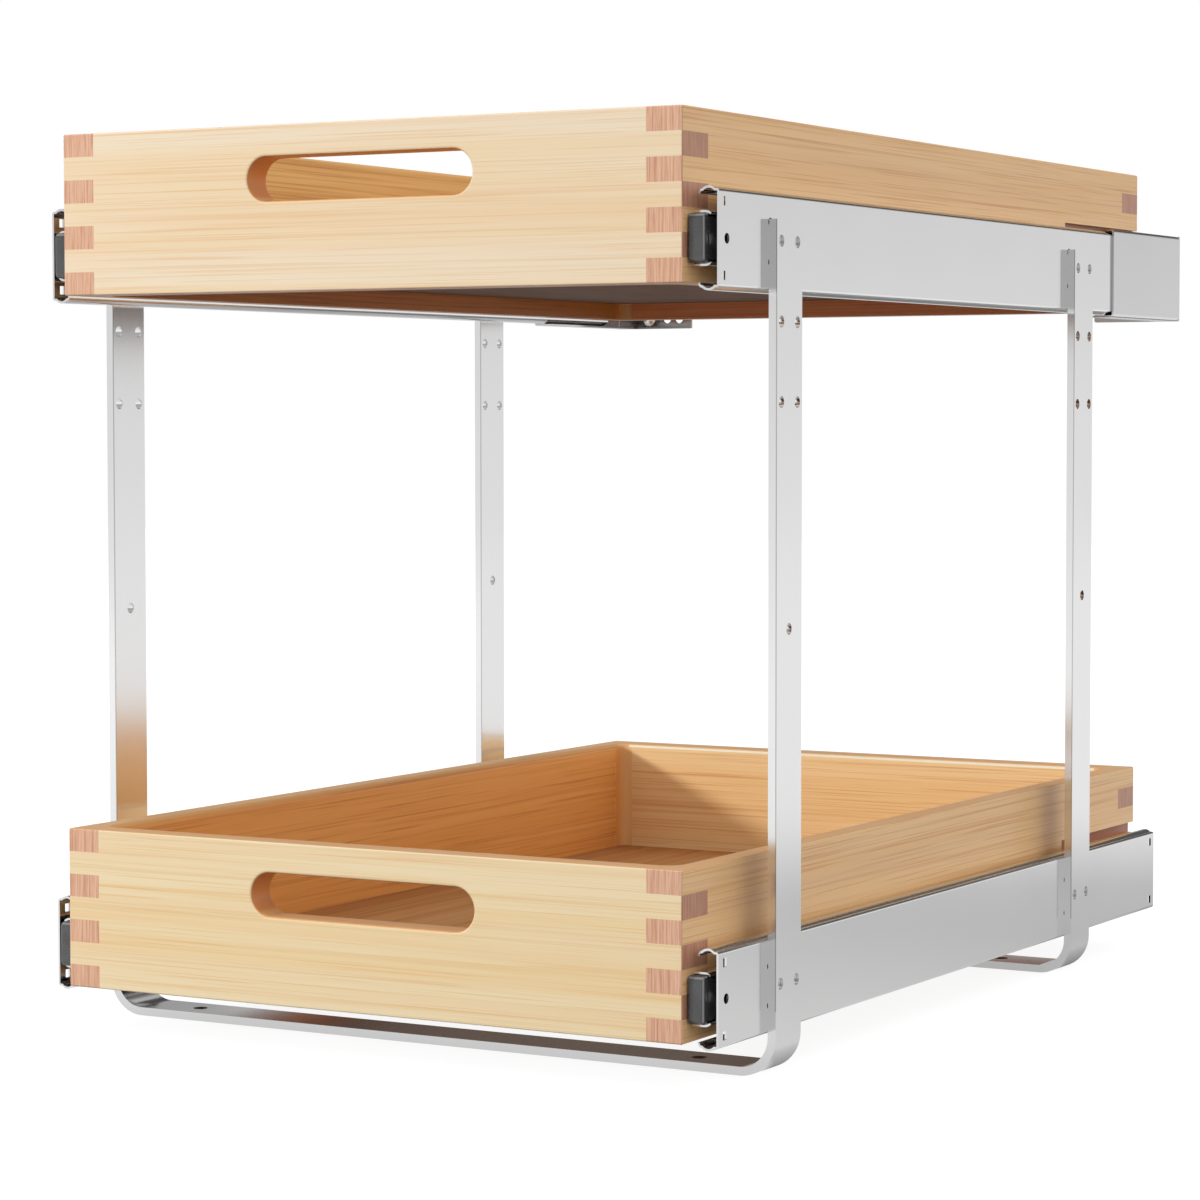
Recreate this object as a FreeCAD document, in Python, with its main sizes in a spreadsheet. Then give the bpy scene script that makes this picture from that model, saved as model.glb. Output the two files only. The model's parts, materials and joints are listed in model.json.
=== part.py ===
import FreeCAD, Part
import math
import os

# Two-tier pull-out cabinet organizer, in millimetres.
# The origin is the middle of the underside of the overall box: X to the right as seen from the front,
# Y from the front to the rear, Z up from the cabinet floor.

SIZES = {
    # drawers
    "drawer_width": 333.2,
    "drawer_depth": 533.0,
    "drawer_height": 76.0,
    "side_thickness": 13.0,
    "end_thickness": 16.0,
    "joint_width": 17.8,          # finger length seen on the front and back faces
    "joint_depth": 23.5,          # finger length seen on the side faces
    "cavity_corner": 6.0,
    "rim_round": 3.5,
    "edge_round": 0.8,
    "handle_length": 121.0,
    "handle_height": 20.4,
    "handle_centre": 51.4,        # above the lower edge of the drawer
    "handle_round": 1.4,
    "bottom_recess": 9.5,
    "bottom_thickness": 5.5,
    "bottom_tongue": 5.0,
    "relief_depth": 3.2,
    "relief_low": 39.2,           # above the lower edge of the drawer
    "relief_high": 45.2,
    "relief_length": 105.0,
    # tiers
    "lower_rail_centre": 41.4,    # above the cabinet floor
    "tier_rise": 329.7,
    "drawer_drop": 19.25,         # from the rail centre down to the lower edge of the drawer
    # slides
    "slide_space": 13.4,
    "rail_setback": 8.4,
    "rail_rear_gap": 3.6,
    "rail_sheet": 1.0,
    "rail_shoulder": 21.2,
    "rail_crest": 22.5,
    "rail_depth": 10.3,
    "rail_lip": 2.2,
    "rail_corner": 1.3,
    "crest_depth": 5.2,
    "crest_half_width": 3.2,
    "ball_clearance": 0.2,
    "outer_ball": 4.0,
    "inner_ball": 3.5,
    "inner_ball_depth": 7.1,
    "middle_sheet": 1.2,
    "middle_gap": 1.1,            # between the webs of the cabinet rail and the middle rail
    "middle_width": 8.3,
    "middle_lip": 1.9,
    "middle_setback": 22.0,
    "middle_rear_gap": 6.0,
    "drawer_rail_gap": 0.4,       # between the middle rail's web and the drawer rail's edge
    "drawer_rail_rear_gap": 4.0,
    "drawer_rail_drop": 1.4,
    "drawer_rail_curve": 3.1,
    "cage_sheet": 0.8,
    "cage_side_gap": 0.6,
    "outer_cage_width": 6.6,
    "inner_cage_width": 6.1,
    "outer_cage_length": 225.0,
    "inner_cage_length": 210.0,
    "cage_margin": 11.0,
    "cage_hole_play": 0.2,
    "end_slot_length": 3.3,
    "end_slot_rise": 4.0,
    "end_slot_inset": 5.9,
    "end_slot_height": 16.0,
    "end_hole": 4.6,
    "end_hole_inset": 7.2,
    "web_hole": 4.0,
    "web_hole_height": 8.8,
    "web_hole_inset": 1.5,
    # bumpers on the front ends of the drawer rails
    "bumper_front": 3.8,          # behind the drawer front
    "bumper_half_height": 10.7,
    "bumper_edge_gap": 1.2,
    "bumper_crown": 2.2,          # rounding of the cap's upper and lower front edges
    "bumper_round": 1.2,
    "bumper_plug": 10.0,
    "bumper_plug_half_height": 9.3,
    # U frames
    "bar_width": 25.0,
    "bar_thickness": 4.0,
    "bend_radius": 18.0,
    "front_frame_inset": 46.9,
    "rear_frame_inset": 105.0,
    "upright_overrun": 10.2,
    "screw_pair": 15.7,
    "screw_rise": 0.7,            # of the rail screws above the rail centre
    "row_pitch": 35.5,
    "upright_hole": 5.2,
    "side_hole_height": 200.0,
    "floor_hole_inset": 45.0,
    "floor_hole": 5.2,
    "floor_sink": 7.4,
    # screws
    "rail_screw": 5.0,
    "rail_screw_head": 8.0,
    "rail_screw_head_height": 0.8,
    "rail_screw_short": 1.2,
    "wood_screw": 3.5,
    "wood_screw_head": 7.0,
    "wood_screw_head_height": 1.1,
    "wood_screw_length": 10.5,
    "wood_screw_inset": 40.0,
    "screw_play": 0.05,
    # rear brackets of the upper tier
    "bracket_sheet": 1.0,
    "bracket_play": 0.1,
    "bracket_length": 101.0,
    "bracket_overhang": 33.1,
    "bracket_depth": 12.7,
    "bracket_bend": 1.8,
    "bracket_slit": 1.2,
    "bracket_plate_width": 51.2,
    "bracket_plate_corner": 1.2,
    "bracket_hole": 5.5,
    "bracket_hole_height": 6.0,
    "bracket_hole_first": 21.8,
    "bracket_hole_second": 34.2,
    "bracket_hole_third": 42.4,
    "wall_screw": 4.0,
    "wall_screw_head": 8.5,
    "wall_screw_head_height": 2.6,
    "wall_screw_length": 12.0,
}

FINGER_ROWS = 7
BALLS_PER_ROW = 10
SPARE_ROWS = 2
WOOD_SCREWS_PER_RAIL = 3
FIT = 1e-4
SIDES = {"left": -1, "right": 1}
TIERS = ("lower", "upper")

# Formulas that several pieces share. Y is measured from the drawer front and Z from each tier's own level,
# until the finished piece is placed.
HALF_DRAWER = "(Sizes.drawer_width / 2)"
RAIL_FACE = f"({HALF_DRAWER} + Sizes.slide_space)"
RAIL_FRONT = "Sizes.rail_setback"
RAIL_END = "(Sizes.drawer_depth - Sizes.rail_rear_gap)"
RAIL_LENGTH = f"({RAIL_END} - {RAIL_FRONT})"
BRACKET_END = f"({RAIL_END} + Sizes.bracket_overhang)"
OVERALL_DEPTH = f"({BRACKET_END} - Sizes.bracket_sheet + Sizes.wall_screw_length)"
FRONT_LEVEL = f"(-{OVERALL_DEPTH} / 2)"
RAIL_CENTRE = {
    "lower": "Sizes.lower_rail_centre",
    "upper": "(Sizes.lower_rail_centre + Sizes.tier_rise)",
}
SCREW_LEVEL = {tier: f"({centre} + Sizes.screw_rise)" for tier, centre in RAIL_CENTRE.items()}
FRAME_OUTSIDE = f"({RAIL_FACE} + Sizes.bar_thickness)"
FRAME_FRONT = {
    "front": f"({RAIL_FRONT} + Sizes.front_frame_inset)",
    "rear": f"({RAIL_END} - Sizes.rear_frame_inset - Sizes.bar_width)",
}
CREST_INSIDE = "(Sizes.rail_crest - Sizes.rail_sheet)"
OUTER_BALL_LINE = f"({CREST_INSIDE} - Sizes.ball_clearance - Sizes.outer_ball / 2)"
MIDDLE_HALF = f"({CREST_INSIDE} - 2 * Sizes.ball_clearance - Sizes.outer_ball)"
MIDDLE_INSIDE = f"({MIDDLE_HALF} - Sizes.middle_sheet)"
INNER_BALL_LINE = f"({MIDDLE_INSIDE} - Sizes.ball_clearance - Sizes.inner_ball / 2)"
DRAWER_RAIL_HALF = f"({MIDDLE_INSIDE} - 2 * Sizes.ball_clearance - Sizes.inner_ball)"
MIDDLE_WEB_DEPTH = "(Sizes.rail_sheet + Sizes.middle_gap)"
DRAWER_RAIL_EDGE = f"({MIDDLE_WEB_DEPTH} + Sizes.middle_sheet + Sizes.drawer_rail_gap)"

doc = FreeCAD.newDocument("CabinetOrganizer")
sheet = doc.addObject("Spreadsheet::Sheet", "Sizes")
for row, (alias, number) in enumerate(SIZES.items(), start=1):
    sheet.set(f"A{row}", alias)
    sheet.set(f"B{row}", str(number))
    sheet.setAlias(f"B{row}", alias)
doc.recompute()

pieces = []


def value(formula):
    """The number that a formula of sizes has now."""
    return float(sheet.evalExpression(str(formula)))


def finish(thing, label, level="0"):
    """Name a finished piece and move it from its own levels to its place in the whole."""
    thing.Label = label
    thing.setExpression("Placement.Base.y", FRONT_LEVEL)
    thing.setExpression("Placement.Base.z", level)
    pieces.append(thing)
    return thing


def spread(side, near, far):
    """The X limits of something that lies between two distances from the middle plane."""
    if side > 0:
        return near, far
    return f"-({far})", f"-({near})"


def block(x_limits, y_limits, z_limits):
    """A box between pairs of formulas."""
    box = doc.addObject("Part::Box", "Block")
    for axis, size, limits in (("x", "Length", x_limits), ("y", "Width", y_limits), ("z", "Height", z_limits)):
        box.setExpression(f"Placement.Base.{axis}", limits[0])
        box.setExpression(size, f"({limits[1]}) - ({limits[0]})")
    return box


def rod(axis, centre, length, diameter):
    """A cylinder that starts at a centre and runs along +X, +Y or +Z."""
    cylinder = doc.addObject("Part::Cylinder", "Rod")
    turn = {"x": (FreeCAD.Vector(0, 1, 0), 90), "y": (FreeCAD.Vector(1, 0, 0), -90), "z": (FreeCAD.Vector(0, 0, 1), 0)}
    cylinder.Placement = FreeCAD.Placement(FreeCAD.Vector(0, 0, 0), FreeCAD.Rotation(*turn[axis]))
    for letter, formula in zip("xyz", centre):
        cylinder.setExpression(f"Placement.Base.{letter}", formula)
    cylinder.setExpression("Radius", f"({diameter}) / 2")
    cylinder.setExpression("Height", length)
    return cylinder


def side_rod(side, near, far, y_place, z_place, diameter):
    """A cylinder along X between two distances from the middle plane."""
    start, end = spread(side, near, far)
    return rod("x", (start, y_place, z_place), f"({end}) - ({start})", diameter)


def together(things):
    """Several tools or copies as one object."""
    group = doc.addObject("Part::Compound", "Group")
    group.Links = things
    return group


def joined(things):
    """Several touching shapes as one solid."""
    fusion = doc.addObject("Part::MultiFuse", "Joined")
    fusion.Shapes = things
    fusion.Refine = True
    return fusion


def without(base, tools):
    """A shape with the tools cut away."""
    cut = doc.addObject("Part::Cut", "Trimmed")
    cut.Base = base
    cut.Tool = together(tools)
    return cut


def shared(base, zone):
    """What lies in both shapes."""
    common = doc.addObject("Part::Common", "Shared")
    common.Base = base
    common.Tool = zone
    return common


def rounded(base, radius, test):
    """Round the edges that pass a test."""
    doc.recompute()
    chosen = [number for number, edge in enumerate(base.Shape.Edges, start=1) if test(edge)]
    fillet = doc.addObject("Part::Fillet", "Rounded")
    fillet.Base = base
    fillet.Edges = [(number, radius, radius) for number in chosen]
    return fillet


def arc_between(start, end, radius, turn):
    """An arc of less than half a turn from start to end; turn is 1 for anticlockwise, -1 for clockwise."""
    middle = (start + end) * 0.5
    chord = end - start
    rise = math.sqrt(max(radius ** 2 - (chord.Length / 2) ** 2, 0))
    normal = FreeCAD.Vector(-chord.y, chord.x, 0).normalize()
    centre = middle + normal * rise * turn
    first = start if turn > 0 else end
    last = end if turn > 0 else start
    angles = [math.atan2(point.y - centre.y, point.x - centre.x) for point in (first, last)]
    circle = Part.Circle(centre, FreeCAD.Vector(0, 0, 1), radius)
    return Part.ArcOfCircle(circle, angles[0], angles[1])


def path_sketch(name, corners, bends, turn, flat=False):
    """An open path in the XZ plane, or in the XY plane where flat.

    The corners are pairs of formulas. bends gives, for the stretch that starts at a corner, the radius of its arc.
    """
    import Sketcher
    sketch = doc.addObject("Sketcher::SketchObject", name)
    if not flat:
        sketch.Placement = FreeCAD.Placement(FreeCAD.Vector(0, 0, 0), FreeCAD.Rotation(FreeCAD.Vector(1, 0, 0), 90))
    points = [FreeCAD.Vector(value(x), value(y), 0) for x, y in corners]
    start_position = []
    end_position = []
    for index in range(len(points) - 1):
        start, end = points[index], points[index + 1]
        if index in bends:
            sketch.addGeometry(arc_between(start, end, value(bends[index]), turn), False)
            start_position.append(1 if turn > 0 else 2)
            end_position.append(2 if turn > 0 else 1)
        else:
            sketch.addGeometry(Part.LineSegment(start, end), False)
            start_position.append(1)
            end_position.append(2)
    last = len(points) - 2
    for index in range(last):
        sketch.addConstraint(Sketcher.Constraint(
            "Coincident", index, end_position[index], index + 1, start_position[index + 1]))
    for index, (x, y) in enumerate(corners):
        stretch = min(index, last)
        position = start_position[stretch] if index <= last else end_position[last]
        for kind, formula, number in (("DistanceX", x, points[index].x), ("DistanceY", y, points[index].y)):
            constraint = sketch.addConstraint(Sketcher.Constraint(kind, stretch, position, number))
            sketch.setExpression(f"Constraints[{constraint}]", formula)
    for index, radius in bends.items():
        constraint = sketch.addConstraint(Sketcher.Constraint("Radius", index, value(radius)))
        sketch.setExpression(f"Constraints[{constraint}]", radius)
    return sketch


def strip(name, corners, bends, turn, thickness, start, length, flat=False):
    """Sheet or flat bar that follows a path, with its thickness inside the bends, run along Y or, where flat, Z."""
    path = path_sketch(name, corners, bends, turn, flat)
    path.setExpression("Placement.Base.z" if flat else "Placement.Base.y", start)
    band = doc.addObject("Part::Offset2D", name + "Band")
    band.Source = path
    band.Fill = True
    band.Join = "Intersection"
    band.Mode = "Skin"
    band.setExpression("Value", thickness)
    doc.recompute()
    if band.Shape.BoundBox.DiagonalLength > path.Shape.BoundBox.DiagonalLength + FIT:
        band.setExpression("Value", f"-({thickness})")
    run = doc.addObject("Part::Extrusion", name + "Run")
    run.Base = band
    run.DirMode = "Custom"
    run.Dir = FreeCAD.Vector(0, 0, 1) if flat else FreeCAD.Vector(0, 1, 0)
    run.setExpression("LengthFwd", length)
    run.Solid = True
    return run


def mirrored_path(upper_corners, upper_bends):
    """Corners and bends of a path whose lower half mirrors its upper half across Z = 0."""
    lower_corners = [(x, f"-({z})") for x, z in reversed(upper_corners)]
    stretches = 2 * len(upper_corners) - 1
    bends = dict(upper_bends)
    for index, radius in upper_bends.items():
        bends[stretches - 1 - index] = radius
    return upper_corners + lower_corners, bends


# U frames of flat bar


def row_heights():
    """Heights of the pairs of holes in an upright: upper rail, spare rows below it, lower rail."""
    heights = [SCREW_LEVEL["lower"], SCREW_LEVEL["upper"]]
    for number in range(1, SPARE_ROWS + 1):
        heights.append(f"{SCREW_LEVEL['upper']} - {number} * Sizes.row_pitch")
    return heights


def pair_places(end):
    """Y places of the pair of holes across the bar."""
    middle = f"{FRAME_FRONT[end]} + Sizes.bar_width / 2"
    return [f"{middle} - Sizes.screw_pair / 2", f"{middle} + Sizes.screw_pair / 2"]


def make_frame(end):
    """One U frame: a crossbar on the cabinet floor with an upright bent up at each end."""
    top = f"({RAIL_CENTRE['upper']} + Sizes.upright_overrun)"
    flat_end = f"({FRAME_OUTSIDE} - Sizes.bend_radius)"
    corners = [
        (f"-{FRAME_OUTSIDE}", top),
        (f"-{FRAME_OUTSIDE}", "Sizes.bend_radius"),
        (f"-{flat_end}", "0"),
        (flat_end, "0"),
        (FRAME_OUTSIDE, "Sizes.bend_radius"),
        (FRAME_OUTSIDE, top),
    ]
    bends = {1: "Sizes.bend_radius", 3: "Sizes.bend_radius"}
    bar = strip(f"{end.title()}Frame", corners, bends, 1, "Sizes.bar_thickness", FRAME_FRONT[end], "Sizes.bar_width")
    middle = f"{FRAME_FRONT[end]} + Sizes.bar_width / 2"
    reach = f"2 * {FRAME_OUTSIDE}"
    holes = []
    for height in row_heights():
        for place in pair_places(end):
            holes.append(rod("x", (f"-{FRAME_OUTSIDE}", place, height), reach, "Sizes.upright_hole"))
    holes.append(rod("x", (f"-{FRAME_OUTSIDE}", middle, "Sizes.side_hole_height"), reach, "Sizes.upright_hole"))
    sink_depth = "((Sizes.floor_sink - Sizes.floor_hole) / 2)"
    for side in SIDES.values():
        x_place = f"{side} * ({FRAME_OUTSIDE} - Sizes.floor_hole_inset)"
        holes.append(rod("z", (x_place, middle, "0"), "Sizes.bar_thickness", "Sizes.floor_hole"))
        sink = doc.addObject("Part::Cone", "Sink")
        for letter, formula in zip("xyz", (x_place, middle, f"Sizes.bar_thickness - {sink_depth}")):
            sink.setExpression(f"Placement.Base.{letter}", formula)
        sink.setExpression("Radius1", "Sizes.floor_hole / 2")
        sink.setExpression("Radius2", "Sizes.floor_sink / 2")
        sink.setExpression("Height", sink_depth)
        holes.append(sink)
    finish(without(bar, holes), f"{end}_frame")


# Ball bearing slides


def depth_place(side, depth):
    """X of a place that lies a depth inside the outer face of the cabinet rail."""
    return f"{side} * ({RAIL_FACE} - ({depth}))"


def make_cabinet_rail(tier, name, side):
    """Outer member: a web with a raceway crest and a lip along each edge."""
    corner = "Sizes.rail_corner"
    shoulder = "Sizes.rail_shoulder"
    upper = [
        (depth_place(side, "Sizes.rail_depth"), f"{shoulder} - Sizes.rail_lip"),
        (depth_place(side, f"Sizes.rail_depth - {corner}"), shoulder),
        (depth_place(side, "Sizes.crest_depth + Sizes.crest_half_width"), shoulder),
        (depth_place(side, "Sizes.crest_depth - Sizes.crest_half_width"), shoulder),
        (depth_place(side, corner), shoulder),
        (depth_place(side, "0"), f"{shoulder} - {corner}"),
    ]
    rise = "(Sizes.rail_crest - Sizes.rail_shoulder)"
    crest_radius = f"(Sizes.crest_half_width ^ 2 + {rise} ^ 2) / (2 * {rise})"
    lip_radius = f"({corner} ^ 2 + Sizes.rail_lip ^ 2) / (2 * {corner})"
    corners, bends = mirrored_path(upper, {0: lip_radius, 2: crest_radius, 4: corner})
    rail = strip("CabinetRail", corners, bends, -side, "Sizes.rail_sheet", RAIL_FRONT, RAIL_LENGTH)
    web = (f"{RAIL_FACE} - Sizes.rail_sheet", RAIL_FACE)
    holes = []
    for end in FRAME_FRONT:
        for place in pair_places(end):
            holes.append(side_rod(side, *web, place, "Sizes.screw_rise", "Sizes.upright_hole"))
        for sign in (-1, 1):
            place = f"{FRAME_FRONT[end]} + Sizes.web_hole_inset"
            holes.append(side_rod(side, *web, place, f"{sign} * Sizes.web_hole_height", "Sizes.web_hole"))
    for rail_end, sign in ((RAIL_FRONT, 1), (RAIL_END, -1)):
        middle = f"{rail_end} + {sign} * Sizes.end_slot_inset"
        along = (f"{middle} - Sizes.end_slot_length / 2", f"{middle} + Sizes.end_slot_length / 2")
        for up in (-1, 1):
            height = f"{up} * Sizes.end_slot_height"
            upright = (f"{height} - Sizes.end_slot_rise / 2", f"{height} + Sizes.end_slot_rise / 2")
            holes.append(block(spread(side, *web), along, upright))
    holes.append(side_rod(side, *web, f"{RAIL_FRONT} + Sizes.end_hole_inset", "0", "Sizes.end_hole"))
    finish(without(rail, holes), f"{tier}_{name}_cabinet_rail", RAIL_CENTRE[tier])


def make_middle_rail(tier, name, side):
    """Middle member: a channel that rides inside the cabinet rail and carries the drawer rail."""
    web_depth = MIDDLE_WEB_DEPTH
    edge_depth = f"({web_depth} + Sizes.middle_width)"
    corner = "Sizes.middle_sheet"
    upper = [
        (depth_place(side, edge_depth), f"{MIDDLE_HALF} - Sizes.middle_lip"),
        (depth_place(side, f"{edge_depth} - {corner}"), MIDDLE_HALF),
        (depth_place(side, f"{web_depth} + {corner}"), MIDDLE_HALF),
        (depth_place(side, web_depth), f"{MIDDLE_HALF} - {corner}"),
    ]
    lip_radius = f"({corner} ^ 2 + Sizes.middle_lip ^ 2) / (2 * {corner})"
    corners, bends = mirrored_path(upper, {0: lip_radius, 2: f"{corner} + 0.1"})
    start = f"{RAIL_FRONT} + Sizes.middle_setback"
    length = f"{RAIL_LENGTH} - Sizes.middle_setback - Sizes.middle_rear_gap"
    rail = strip("MiddleRail", corners, bends, -side, "Sizes.middle_sheet", start, length)
    finish(rail, f"{tier}_{name}_middle_rail", RAIL_CENTRE[tier])


def wood_screw_places():
    """Y places of the screws along a drawer rail."""
    first = f"({RAIL_FRONT} + Sizes.wood_screw_inset)"
    last = f"({RAIL_END} - Sizes.drawer_rail_rear_gap - Sizes.wood_screw_inset)"
    steps = WOOD_SCREWS_PER_RAIL - 1
    return [f"{first} + ({last} - {first}) * {number} / {steps}" for number in range(WOOD_SCREWS_PER_RAIL)]


def make_drawer_rail(tier, name, side):
    """Inner member: a channel screwed to the drawer side, with curved edges that the inner balls run on."""
    corner = "Sizes.rail_corner"
    back = "Sizes.slide_space"
    upper = [
        (depth_place(side, DRAWER_RAIL_EDGE), f"{DRAWER_RAIL_HALF} - Sizes.drawer_rail_drop"),
        (depth_place(side, f"{DRAWER_RAIL_EDGE} + Sizes.drawer_rail_curve"), DRAWER_RAIL_HALF),
        (depth_place(side, f"{back} - {corner}"), DRAWER_RAIL_HALF),
        (depth_place(side, back), f"{DRAWER_RAIL_HALF} - {corner}"),
    ]
    drop, curve = "Sizes.drawer_rail_drop", "Sizes.drawer_rail_curve"
    edge_radius = f"({drop} ^ 2 + {curve} ^ 2) / (2 * {drop})"
    corners, bends = mirrored_path(upper, {0: edge_radius, 2: corner})
    length = f"{RAIL_LENGTH} - Sizes.drawer_rail_rear_gap"
    rail = strip("DrawerRail", corners, bends, side, "Sizes.rail_sheet", RAIL_FRONT, length)
    web = (HALF_DRAWER, f"{HALF_DRAWER} + Sizes.rail_sheet")
    hole = "Sizes.wood_screw + 2 * Sizes.screw_play"
    holes = [side_rod(side, *web, place, "0", hole) for place in wood_screw_places()]
    finish(without(rail, holes), f"{tier}_{name}_drawer_rail", RAIL_CENTRE[tier])


def make_bumper(tier, name, side):
    """Plastic end block: a cap in front of the drawer rail, and a plug that fills the front of its channel."""
    near = f"{HALF_DRAWER} + Sizes.rail_sheet"
    far = f"{RAIL_FACE} - {DRAWER_RAIL_EDGE} - Sizes.bumper_edge_gap"
    across = spread(side, near, far)
    cap = block(across, ("Sizes.bumper_front", RAIL_FRONT), ("-Sizes.bumper_half_height", "Sizes.bumper_half_height"))
    front = value("Sizes.bumper_front")
    inside = side * value(near)
    doc.recompute()
    chosen = []
    for number, edge in enumerate(cap.Shape.Edges, start=1):
        box = edge.BoundBox
        if abs(box.XMin - inside) < FIT and abs(box.XMax - inside) < FIT:
            continue
        crowned = box.YMax - front < FIT and box.XLength > FIT
        if crowned or box.XLength < FIT:
            radius = SIZES["bumper_crown"] if crowned else SIZES["bumper_round"]
            chosen.append((number, radius, radius))
    shaped = doc.addObject("Part::Fillet", "Cap")
    shaped.Base = cap
    shaped.Edges = chosen
    plug = block(across, (RAIL_FRONT, f"{RAIL_FRONT} + Sizes.bumper_plug"),
                 ("-Sizes.bumper_plug_half_height", "Sizes.bumper_plug_half_height"))
    finish(joined([shaped, plug]), f"{tier}_{name}_rail_bumper", RAIL_CENTRE[tier])


def make_cage(tier, name, side, which):
    """Two perforated strips, above and below, with their balls in a separate piece."""
    if which == "outer":
        ball, depth, line = "Sizes.outer_ball", "Sizes.crest_depth", OUTER_BALL_LINE
        middle = f"((Sizes.rail_shoulder - Sizes.rail_sheet + {MIDDLE_HALF}) / 2)"
        first = f"(Sizes.rail_sheet + Sizes.cage_side_gap)"
        width, length = "Sizes.outer_cage_width", "Sizes.outer_cage_length"
        start = f"({RAIL_FRONT} + {RAIL_LENGTH} / 4 + Sizes.cage_margin)"
    else:
        ball, depth, line = "Sizes.inner_ball", "Sizes.inner_ball_depth", INNER_BALL_LINE
        middle = f"(({MIDDLE_INSIDE} + {DRAWER_RAIL_HALF}) / 2)"
        first = f"({MIDDLE_WEB_DEPTH} + Sizes.middle_sheet + Sizes.cage_side_gap)"
        width, length = "Sizes.inner_cage_width", "Sizes.inner_cage_length"
        start = f"({RAIL_FRONT} + Sizes.middle_setback + {RAIL_LENGTH} / 4 + Sizes.cage_margin)"
    across = spread(side, f"{RAIL_FACE} - {first} - {width}", f"{RAIL_FACE} - {first}")
    along = (start, f"{start} + {length}")
    strips = []
    for sign in (-1, 1):
        height = f"{sign} * {middle}"
        strips.append(block(across, along, (f"{height} - Sizes.cage_sheet / 2", f"{height} + Sizes.cage_sheet / 2")))
    balls = []
    holes = []
    for number in range(BALLS_PER_ROW):
        place = f"{start} + {length} * {2 * number + 1} / {2 * BALLS_PER_ROW}"
        x_place = depth_place(side, depth)
        holes.append(rod("z", (x_place, place, f"-2 * {line}"), f"4 * {line}", f"{ball} + Sizes.cage_hole_play"))
        for sign in (-1, 1):
            sphere = doc.addObject("Part::Sphere", "Ball")
            for letter, formula in zip("xyz", (x_place, place, f"{sign} * {line}")):
                sphere.setExpression(f"Placement.Base.{letter}", formula)
            sphere.setExpression("Radius", f"{ball} / 2")
            balls.append(sphere)
    finish(without(together(strips), holes), f"{tier}_{name}_{which}_ball_cage", RAIL_CENTRE[tier])
    finish(together(balls), f"{tier}_{name}_{which}_balls", RAIL_CENTRE[tier])


# Fasteners


def make_rail_screws():
    """Low-head screws through the cabinet rails into the uprights."""
    screws = []
    inside = f"({RAIL_FACE} - Sizes.rail_sheet)"
    for tier in TIERS:
        for side in SIDES.values():
            for end in FRAME_FRONT:
                for place in pair_places(end):
                    head = side_rod(side, f"{inside} - Sizes.rail_screw_head_height", inside,
                                    place, SCREW_LEVEL[tier], "Sizes.rail_screw_head")
                    shank = side_rod(side, inside, f"{FRAME_OUTSIDE} - Sizes.rail_screw_short",
                                     place, SCREW_LEVEL[tier], "Sizes.rail_screw")
                    screws.append(joined([head, shank]))
    finish(together(screws), "rail_screws")


def make_drawer_rail_screws(tier):
    """Screws through the drawer rails into the side panels."""
    screws = []
    inside = f"({HALF_DRAWER} + Sizes.rail_sheet)"
    for side in SIDES.values():
        for place in wood_screw_places():
            head = side_rod(side, inside, f"{inside} + Sizes.wood_screw_head_height", place, "0",
                            "Sizes.wood_screw_head")
            shank = side_rod(side, f"{HALF_DRAWER} - Sizes.wood_screw_length", inside, place, "0",
                             "Sizes.wood_screw")
            screws.append(joined([head, shank]))
    finish(together(screws), f"{tier}_drawer_rail_screws", RAIL_CENTRE[tier])


def plate_x(side, offset):
    """X of a place on the bracket's plate, from the bracket's outer face."""
    return f"{side} * ({RAIL_FACE} + Sizes.bracket_play + Sizes.bracket_sheet - ({offset}))"


PLATE_HALF = "(Sizes.rail_crest + Sizes.bracket_play + Sizes.bracket_sheet)"
PLATE_HOLE_LEVEL = f"(-{PLATE_HALF} + Sizes.bracket_hole_height)"


def make_wall_screws():
    """Domed screws in the outboard hole of each rear bracket."""
    screws = []
    face = f"({BRACKET_END} - Sizes.bracket_sheet)"
    height = "Sizes.wall_screw_head_height"
    dome = f"((Sizes.wall_screw_head / 2) ^ 2 + {height} ^ 2) / (2 * {height})"
    for side in SIDES.values():
        x_place = plate_x(side, "Sizes.bracket_hole_first")
        shank = rod("y", (x_place, face, PLATE_HOLE_LEVEL), "Sizes.wall_screw_length", "Sizes.wall_screw")
        disc = rod("y", (x_place, f"{face} - {height}", PLATE_HOLE_LEVEL), height, "Sizes.wall_screw_head")
        ball = doc.addObject("Part::Sphere", "Dome")
        for letter, formula in zip("xyz", (x_place, f"{face} - {height} + {dome}", PLATE_HOLE_LEVEL)):
            ball.setExpression(f"Placement.Base.{letter}", formula)
        ball.setExpression("Radius", dome)
        screws.append(joined([shared(disc, ball), shank]))
    finish(together(screws), "rear_wall_screws", RAIL_CENTRE["upper"])


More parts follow.
